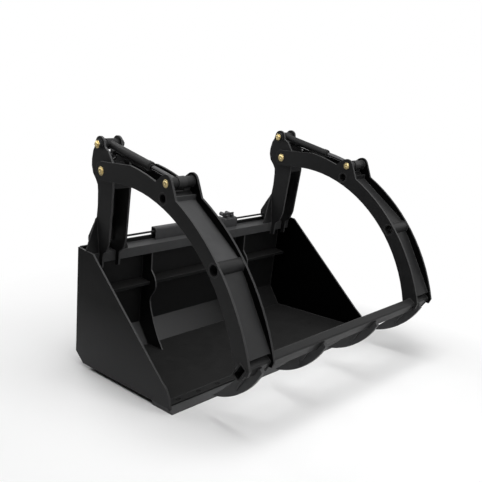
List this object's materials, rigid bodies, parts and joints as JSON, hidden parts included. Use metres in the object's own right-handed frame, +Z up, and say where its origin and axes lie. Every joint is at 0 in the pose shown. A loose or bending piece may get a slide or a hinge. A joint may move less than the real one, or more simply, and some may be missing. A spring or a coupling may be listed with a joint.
{
  "type": "hay grapple",
  "caption": "Skid-steer bucket with two hydraulic arms joined by a crossbar with four curved tines, for clamping hay and bales.",
  "frame": {"origin": "on the ground at mid width, straight under the arm pivot line, on the middle wear bar's bottom face", "axes": "+X to the tool's right seen from behind it looking forward is the machine's right; -Y is forward, out of the bucket mouth; +Z is up"},
  "size_m": [1.88, 1.6443, 1.4987],
  "materials": {
    "black_paint": "satin powder coat",
    "edge_paint": "satin paint",
    "dark_bolt": "matt",
    "yellow_zinc": "yellow zinc plated",
    "rod_chrome": "polished",
    "zinc_steel": "zinc plated"
  },
  "bodies": {
    "bucket": {"side_plate_left": "black_paint", "side_plate_right": "black_paint", "bucket_shell": "black_paint", "base_edge": "black_paint", "cutting_edge": "edge_paint", "edge_bolts": "dark_bolt", "wear_bars": "black_paint", "top_tube": "black_paint", "mid_ledge": "black_paint", "back_ribs": "black_paint", "attach_plate": "black_paint", "attach_lip": "black_paint", "attach_flange": "black_paint", "attach_ribs": "black_paint", "hose_guard": "black_paint", "guard_cover": "black_paint", "hydraulic_lines": "black_paint", "couplers": "zinc_steel", "tower_left_outer_plate": "black_paint", "tower_left_inner_plate": "black_paint", "tower_left_column_web": "black_paint", "tower_left_head_web": "black_paint", "tower_left_hub": "black_paint", "tower_right_outer_plate": "black_paint", "tower_right_inner_plate": "black_paint", "tower_right_column_web": "black_paint", "tower_right_head_web": "black_paint", "tower_right_hub": "black_paint", "tower_gussets_outer": "black_paint", "tower_gussets_inner": "black_paint", "pivot_pins": "yellow_zinc", "pivot_washers": "black_paint", "top_pins": "yellow_zinc", "top_spacers": "black_paint", "top_collars": "black_paint"},
    "clamp": {"arm_left_outer_plate": "black_paint", "arm_left_inner_plate": "black_paint", "arm_left_tube_upper": "black_paint", "arm_left_tube_lower": "black_paint", "arm_left_web_upper": "black_paint", "arm_left_web_lower": "black_paint", "arm_right_outer_plate": "black_paint", "arm_right_inner_plate": "black_paint", "arm_right_tube_upper": "black_paint", "arm_right_tube_lower": "black_paint", "arm_right_web_upper": "black_paint", "arm_right_web_lower": "black_paint", "pin_gussets": "black_paint", "rod_pins": "yellow_zinc", "rod_bosses": "black_paint", "crossbar": "black_paint", "clamp_tines": "black_paint", "tine_fins": "black_paint"},
    "cylinder_left_body": {"cylinder_left": "black_paint"},
    "cylinder_right_body": {"cylinder_right": "black_paint"},
    "rod_left_body": {"rod_left": "rod_chrome"},
    "rod_right_body": {"rod_right": "rod_chrome"}
  },
  "joints": [
    {"name": "clamp_swing", "type": "hinge", "parent": "bucket", "child": "clamp", "pos_m": [0, 0, 1.3], "axis": [-1, 0, 0], "range_deg": [-5, 50]},
    {"name": "cylinder_left_tilt", "type": "hinge", "parent": "bucket", "child": "cylinder_left_body", "pos_m": [-0.79, 0.043, 1.451], "axis": [-1, 0, 0], "range_deg": [-5, 48]},
    {"name": "cylinder_right_tilt", "type": "hinge", "parent": "bucket", "child": "cylinder_right_body", "pos_m": [0.79, 0.043, 1.451], "axis": [-1, 0, 0], "range_deg": [-5, 48]},
    {"name": "rod_left_slide", "type": "slide", "parent": "cylinder_left_body", "child": "rod_left_body", "axis": [0, -0.9675, -0.253], "range_m": [-0.131, 0.014]},
    {"name": "rod_right_slide", "type": "slide", "parent": "cylinder_right_body", "child": "rod_right_body", "axis": [0, -0.9675, -0.253], "range_m": [-0.131, 0.014]}
  ],
  "couplings": [
    {"joint": "cylinder_left_tilt", "follows": "clamp_swing", "ratio": 0.95},
    {"joint": "cylinder_right_tilt", "follows": "clamp_swing", "ratio": 0.95},
    {"joint": "rod_left_slide", "follows": "clamp_swing", "m_per_rad": -0.149},
    {"joint": "rod_right_slide", "follows": "clamp_swing", "m_per_rad": -0.149}
  ]
}
